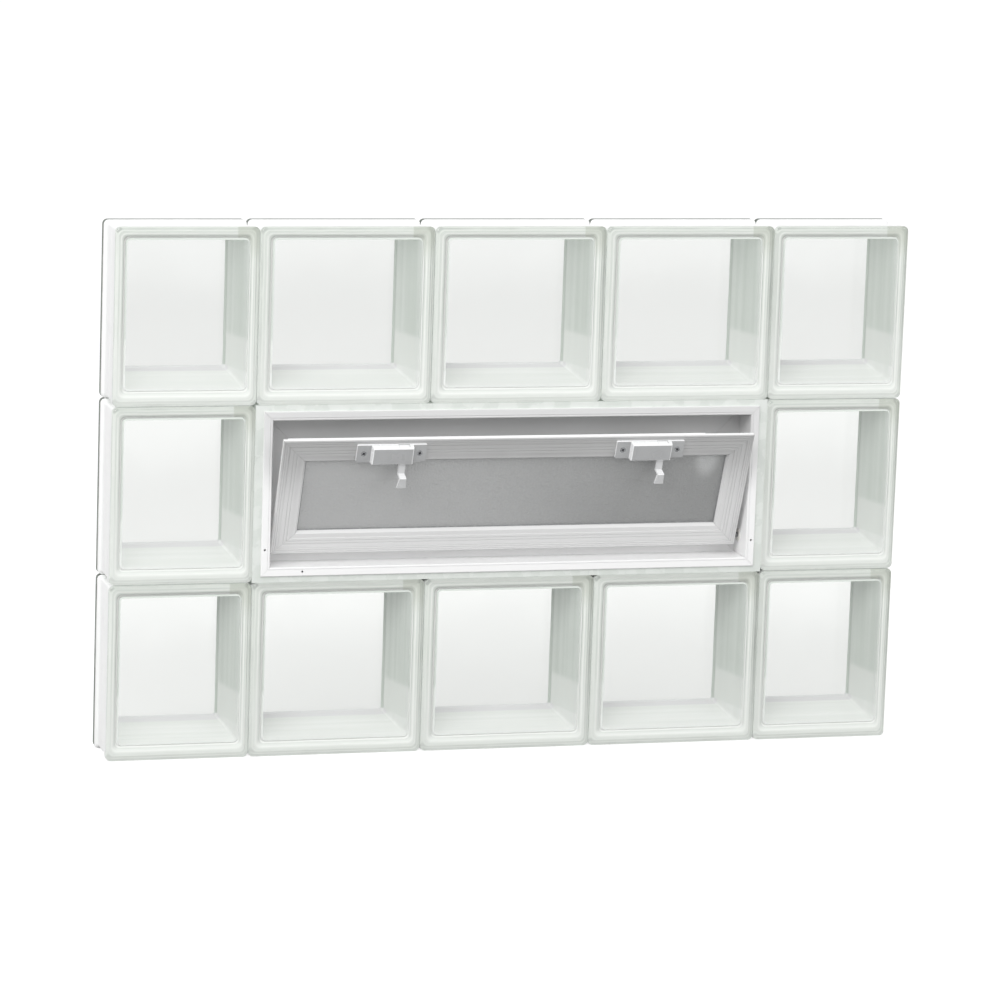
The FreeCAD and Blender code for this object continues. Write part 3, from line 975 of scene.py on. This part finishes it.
@dataclass
class GlassBlocks:
    """The hollow glass blocks, each a pressed shell with a coated edge round a sealed cavity."""

    corner_radius: float = 5.5 * MM
    edge_radius: float = 3.0 * MM
    flat_border: float = 1.0 * MM
    rim_depth: float = 13.0 * MM
    channel_slope: float = 4.5 * MM
    channel_depth: float = 3.4 * MM
    weld_height: float = 0.45 * MM
    weld_half: float = 1.5 * MM
    pane: float = 7.0 * MM
    walls: tuple[float, float, float, float] = (12.0 * MM, 14.5 * MM, 12.5 * MM, 15.5 * MM)
    taper: tuple[float, float, float, float] = (14.0 * MM, 2.0 * MM, 2.0 * MM, 17.0 * MM)
    rim_at: float = 9.3 * MM
    rim_half: float = 0.15 * MM
    rim_gap: float = 0.3 * MM
    cavity_radius: float = 6.0 * MM
    fillet: float = 2.0 * MM
    arc_points: int = 6
    fall_points: int = 7
    weld_points: int = 5
    rim_break: float = 0.6
    edge_margin: float = 1.05
    shell_chords: int = 8
    cavity_chords: int = 10
    side_runs: int = 6
    finishes: tuple[Finish, ...] = (ClearGlass(), EdgeCoat(), MilkyWall(), RimBands())

    def shell(self, box: BlockBox) -> Surface:
        """Return the outside of a block, from the front face to the back.

        The face edge is a quarter circle: depth r - r cos t, inset r - r sin t.
        The way down into the channel is half a cosine wave, and the weld is a
        whole cosine wave that stands out of the channel's floor.

        Args:
            box: Where the block stands.

        Returns:
            The closed surface, glass on the faces and coat between their edges.
        """
        t = np.linspace(0, math.pi / 2, self.arc_points)
        r = self.edge_radius
        u = np.linspace(0, 1, self.fall_points)
        fall = self.channel_depth * (1 - np.cos(math.pi * u)) / 2
        w = np.linspace(-1, 0, self.weld_points)
        weld = self.channel_depth - self.weld_height * (1 + np.cos(math.pi * w)) / 2
        depths = np.concatenate([
            [0, 0], r - r * np.cos(t[1:]), [self.rim_depth * self.rim_break],
            self.rim_depth + self.channel_slope * u, box.depth / 2 + self.weld_half * w,
        ])
        insets = np.concatenate([[r + self.flat_border, r], r - r * np.sin(t[1:]), [0], fall, weld])
        depths = np.concatenate([depths, box.depth - depths[-2::-1]])
        insets = np.concatenate([insets, insets[-2::-1]])
        middles = (depths[:-1] + depths[1:]) / 2
        edge = r * self.edge_margin
        slots = np.where((middles < edge) | (middles > box.depth - edge), GLASS, COAT).tolist()
        radii = np.maximum(self.corner_radius - insets, self.corner_radius / 4)
        rings = box.outlines(radii, insets[:, None], self.shell_chords, self.side_runs)
        return box.stacked(rings, depths, [GLASS, *slots, GLASS])

    def wall_insets(self, box: BlockBox, depths: np.ndarray) -> np.ndarray:
        """Return how far in the cavity's wall lies at some depths.

        The wall leans in by the taper in even proportion to the depth behind
        the front pane, and is thinner at the sides of a narrow block.

        Args:
            box: Where the block stands.
            depths: Depths behind the front face.

        Returns:
            Insets at the right, left, top and bottom, one row for each depth.
        """
        share = (depths - self.pane) / (box.depth - 2 * self.pane)
        narrow = box.width / box.height
        return (np.array(self.walls) + share[:, None] * np.array(self.taper)) * [narrow, narrow, 1.0, 1.0]

    def hollow(self, box: BlockBox) -> Surface:
        """Return the cavity of a block, from the front pane to the back pane.

        Each fillet is a quarter circle: depth r - r cos t from the pane and
        inset r - r sin t from the wall.

        Args:
            box: Where the block stands.

        Returns:
            The closed surface, with faces into the cavity.
        """
        t = np.linspace(0, math.pi / 2, self.arc_points)
        r = self.fillet
        near = self.pane + r - r * np.cos(t)
        depths = np.concatenate([[near[0]], near, [box.depth / 2], box.depth - near[::-1], [box.depth - near[0]]])
        round_off = r - r * np.sin(t)
        extra = np.concatenate([[r + self.flat_border], round_off, [0], round_off[::-1], [r + self.flat_border]])
        insets = self.wall_insets(box, depths) + extra[:, None]
        radii = np.maximum(self.cavity_radius + insets[1, 0] - insets[:, 0] - r, self.cavity_radius / 2)
        rings = box.outlines(radii, insets, self.cavity_chords, self.side_runs)
        slots = [GLASS, GLASS] + [WALL] * (len(depths) - 3) + [GLASS, GLASS]
        return box.stacked(rings, depths, slots).flipped()

    def rim_frame(self, box: BlockBox, at: float) -> Surface:
        """Return the milky frame inside the rim, close behind one of the faces, which carries the painted bands of
        light and shade.

        Args:
            box: Where the block stands.
            at: Depth of the frame behind the front face.

        Returns:
            The frame's closed surface, with shade 0 at the outer edge and 1 at the inner one.
        """
        inner = self.wall_insets(box, np.array([at]))[0] - self.rim_gap
        outer = np.full(4, self.rim_gap)
        radii = np.array([self.corner_radius, self.corner_radius, self.cavity_radius, self.cavity_radius])
        rings = box.outlines(radii, np.stack([outer, outer, inner, inner]), self.cavity_chords, self.side_runs)
        depths = box.front + at + self.rim_half * np.array([-1, 1, 1, -1])
        faces = ring_faces(*rings.shape[:2], looped=True)
        shade = np.repeat([0, 0, 1, 1], rings.shape[1])
        return Surface(ring_points(rings, depths, box.centre), faces, [RIM] * len(faces), shade)

    def make(self) -> None:
        """Build one piece for each block node and let it stand for that node."""
        for node in sorted(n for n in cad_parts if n.startswith("glass_block")):
            box = BlockBox.of(node)
            rims = [self.rim_frame(box, at) for at in (self.rim_at, box.depth - self.rim_at)]
            block = Surface.joined([self.shell(box), self.hollow(box), *rims])
            piece = block.build(node.replace("glass_block", "block"), self.finishes)
            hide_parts(node)
            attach(piece, "panel")


# Vent


@dataclass
class Vent:
    """The vent frame, its tilted sash, the latches and the sealant, which keep their CAD shapes."""

    fixed: Finish = FrameVinyl()
    sash: Finish = SashVinyl()
    pane: Finish = ObscureGlass()
    gasket: Finish = GasketRubber()
    bracket: Finish = LatchPlastic()
    bolt: Finish = LeverPlastic()
    pin: Finish = PlatedSteel()
    bush: Finish = Nylon()
    sealant: Finish = Silicone()

    def dress(self) -> None:
        """Give every vent and sealant node its finish, by the start of its name."""
        starts = {
            "vent_frame": self.fixed, "sash_rail": self.sash, "sash_stile": self.sash, "glazing_beads": self.sash,
            "sash_obscure": self.pane, "glazing_gasket": self.gasket, "latch_bracket": self.bracket,
            "latch_bolt": self.bolt, "pivot_pin": self.pin, "pivot_bush": self.bush,
            "vent_sealant": self.sealant, "joint_sealant": self.sealant, "bed_sealant": self.sealant,
        }
        for node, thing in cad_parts.items():
            for finish in (f for start, f in starts.items() if node.startswith(start)):
                thing.data.materials.clear()
                thing.data.materials.append(finish.material())
                log.info("%s: %s", node, finish.label)


@dataclass
class LatchScrews:
    """The four countersunk screws in the latch ears, each with a crossed recess in a gently domed head."""

    across: tuple[float, ...] = (-180.75 * MM, -117.25 * MM, 117.25 * MM, 180.75 * MM)
    turns: tuple[float, ...] = (0.5, 1.1, 0.2, 0.8)
    ear_front: float = 17.7 * MM
    level: float = 356.45 * MM
    head_radius: float = 3.55 * MM
    shank_radius: float = 1.55 * MM
    cone_depth: float = 2.0 * MM
    length: float = 2.8 * MM
    dome: float = 0.45 * MM
    recess_depth: float = 1.5 * MM
    arm: float = 1.9 * MM
    arm_half: float = 0.75 * MM
    arm_rise: float = 0.45
    ramp: float = 0.25 * MM
    dark_share: float = 0.5
    core_radius: float = 0.08 * MM
    rings: int = 34
    steps: int = 72
    sharp: float = 35.0

    def height(self, u: np.ndarray, v: np.ndarray) -> np.ndarray:
        """Return how far the head stands out at points on it.

        The dome is dome * (1 - r^2 / R^2). The recess is the larger of two
        crossed bars, each 1 inside its half width and length and falling to 0
        over a short ramp, and deepest in the middle.

        Args:
            u: Distance to the right of the screw's axis.
            v: Distance above it.

        Returns:
            Heights above the ear's face.
        """
        bars = [
            np.clip((self.arm_half - np.abs(b)) / self.ramp, 0, 1) * np.clip((self.arm - np.abs(a)) / self.ramp, 0, 1)
            for a, b in ((u, v), (v, u))
        ]
        reach = np.hypot(u, v)
        depth = self.recess_depth * (1 - self.arm_rise * np.clip(reach / self.arm, 0, 1))
        return self.dome * (1 - (reach / self.head_radius) ** 2) - depth * np.maximum(*bars)

    def surface(self, x: float, turn: float) -> Surface:
        """Return one screw on the tilted sash.

        Rings run from the middle of the head to its rim, down the cone and the
        shank, and one flat face closes the end.

        Args:
            x: The screw's place along the sash.
            turn: How far the recess is turned, in radians.

        Returns:
            The closed surface, with faces outwards.
        """
        angle = np.arange(self.steps) * 2 * math.pi / self.steps
        radii = np.linspace(self.core_radius, self.head_radius, self.rings)
        u, v = radii[:, None] * np.cos(angle), radii[:, None] * np.sin(angle)
        out = self.height(u, v)
        ends = [(self.shank_radius, -self.cone_depth), (self.shank_radius, -self.length)]
        u = np.concatenate([u, [r * np.cos(angle) for r, _ in ends]])
        v = np.concatenate([v, [r * np.sin(angle) for r, _ in ends]])
        # Painted shade: how dark each point is painted down in the recess, for the plating's recess colour.
        recess = np.clip(-out / (self.dark_share * self.recess_depth), 0, 1)
        recess = np.concatenate([recess, np.zeros((len(ends), self.steps))])
        out = np.concatenate([out, [np.full(self.steps, h) for _, h in ends]])
        right = u * math.cos(turn) - v * math.sin(turn)
        above = u * math.sin(turn) + v * math.cos(turn) + self.level - SASH_PIVOT[2]
        ahead = self.ear_front - out - SASH_PIVOT[1]
        cos, sin = math.cos(SASH_TILT), math.sin(SASH_TILT)
        points = np.stack([right + x, ahead * cos - above * sin, ahead * sin + above * cos], -1)
        points += (0.0, *SASH_PIVOT[1:])
        faces = ring_faces(len(points), self.steps)
        return Surface(points.reshape(-1, 3), faces, [0] * len(faces), recess.reshape(-1))

    def make(self) -> None:
        """Build the screws as one piece that rides the sash."""
        screws = [self.surface(x, turn) for x, turn in zip(self.across, self.turns)]
        piece = Surface.joined(screws).build("latch_screws", [PlatedSteel()], self.sharp)
        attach(piece, "sash")


# Studio


@dataclass(frozen=True)
class Lamp:
    """A square soft lamp: its name, where it hangs, its side in metres and its power in watts."""

    name: str
    place: Point
    side: float
    watts: float


@dataclass
class Studio:
    """Pale floor, white surroundings, soft lamps and the camera."""

    floor_half: float = 60.0
    floor_drop: float = 0.2 * MM
    floor_roughness: float = 0.9
    floor_colour: Colour = (0.45, 0.45, 0.45)
    floor_glow: float = 0.72
    ambient_up: float = 0.78
    ambient_down: float = 0.28
    lamps: tuple[Lamp, ...] = (
        Lamp("lamp_above", (-2.4, -2.4, 2.8), 3.0, 98.0),
        Lamp("lamp_right", (3.0, -3.0, 1.6), 2.5, 42.0),
    )
    azimuth: float = math.radians(-16.5)
    elevation: float = math.radians(10.0)
    distance: float = 5.128
    aim: Point = (0.0, 0.0397, 0.29525)
    yaw: float = math.radians(16.46)
    pitch: float = math.radians(-10.20)
    roll: float = math.radians(1.96)
    focal_pixels: float = 4572.0
    picture_pixels: float = 1000.0
    sensor: float = 36.0
    near_and_far: Span = (0.1, 200.0)

    def floor(self) -> None:
        """Lay the floor: a plane that looks white to the camera and in glass, and keeps shadows."""
        h = self.floor_half
        level = CAD_BOX[0][2] - self.floor_drop
        mesh = bpy.data.meshes.new("studio_floor")
        mesh.from_pydata([(-h, -h, level), (h, -h, level), (h, h, level), (-h, h, level)], [], [[0, 1, 2, 3]])
        material = bpy.data.materials.new("Floor")
        material.use_nodes = True
        graph = Graph(material.node_tree)
        shader = graph.principled(
            Base_Color=(*self.floor_colour, 1.0), Roughness=self.floor_roughness, Specular_IOR_Level=0.0,
        )
        glow = graph.node("ShaderNodeEmission", None, {"Color": (1, 1, 1, 1), "Strength": self.floor_glow})
        lit = graph.node("ShaderNodeAddShader", None, {0: shader, 1: glow})
        graph.surface(graph.on_rays(shader, lit, SEEN_RAYS))
        mesh.materials.append(material)
        placed("studio_floor", mesh)

    def world(self) -> None:
        """Make surroundings that look white and light the panel more from above than from below."""
        world = bpy.data.worlds.new("Surroundings")
        bpy.context.scene.world = world
        world.use_nodes = True
        graph = Graph(world.node_tree)
        _, _, up = graph.parts(graph.node("ShaderNodeTexCoord", output="Generated"))
        low, high = [(v, v, v) for v in (self.ambient_down, self.ambient_up)]
        ambient = graph.node("ShaderNodeBackground", None, {"Color": graph.blend(up.step(-1.0, 1.0), low, high)})
        white = graph.node("ShaderNodeBackground", None, {"Color": (1, 1, 1, 1)})
        shade = graph.on_rays(ambient, white, SEEN_RAYS)
        graph.node("ShaderNodeOutputWorld", None, {"Surface": shade})

    def hang(self, lamp: Lamp) -> None:
        """Hang one lamp that faces the panel."""
        data = bpy.data.lights.new(lamp.name, "AREA")
        data.size = lamp.side
        data.energy = lamp.watts
        hung = placed(lamp.name, data)
        hung.location = lamp.place
        hung.rotation_mode = "QUATERNION"
        hung.rotation_quaternion = (Vector(self.aim) - Vector(lamp.place)).to_track_quat("-Z", "Y")
        hung.visible_camera = False
        hung.visible_transmission = False

    def camera(self) -> None:
        """Set the camera where the photograph was taken from."""
        e, a = self.elevation, self.azimuth
        back = Vector((math.sin(a) * math.cos(e), -math.cos(a) * math.cos(e), math.sin(e)))
        turn = (
            Matrix.Rotation(-self.yaw, 4, "Z")
            @ Matrix.Rotation(math.pi / 2 + self.pitch, 4, "X")
            @ Matrix.Rotation(self.roll, 4, "Z")
        )
        data = bpy.data.cameras.new("camera")
        data.sensor_width = self.sensor
        data.lens = self.focal_pixels / self.picture_pixels * self.sensor
        data.clip_start, data.clip_end = self.near_and_far
        camera = placed("camera", data)
        camera.matrix_world = Matrix.Translation(Vector(self.aim) + back * self.distance) @ turn
        bpy.context.scene.camera = camera

    def make(self) -> None:
        """Build the studio."""
        self.floor()
        self.world()
        for lamp in self.lamps:
            self.hang(lamp)
        self.camera()
        bpy.context.scene.view_settings.view_transform = "Standard"


def main() -> None:
    """Build the panel's looks and the studio."""
    logging.basicConfig(level=logging.INFO, format="%(name)s: %(message)s")
    GlassBlocks().make()
    Vent().dress()
    LatchScrews().make()
    Studio().make()


if __name__ == "__main__":
    main()
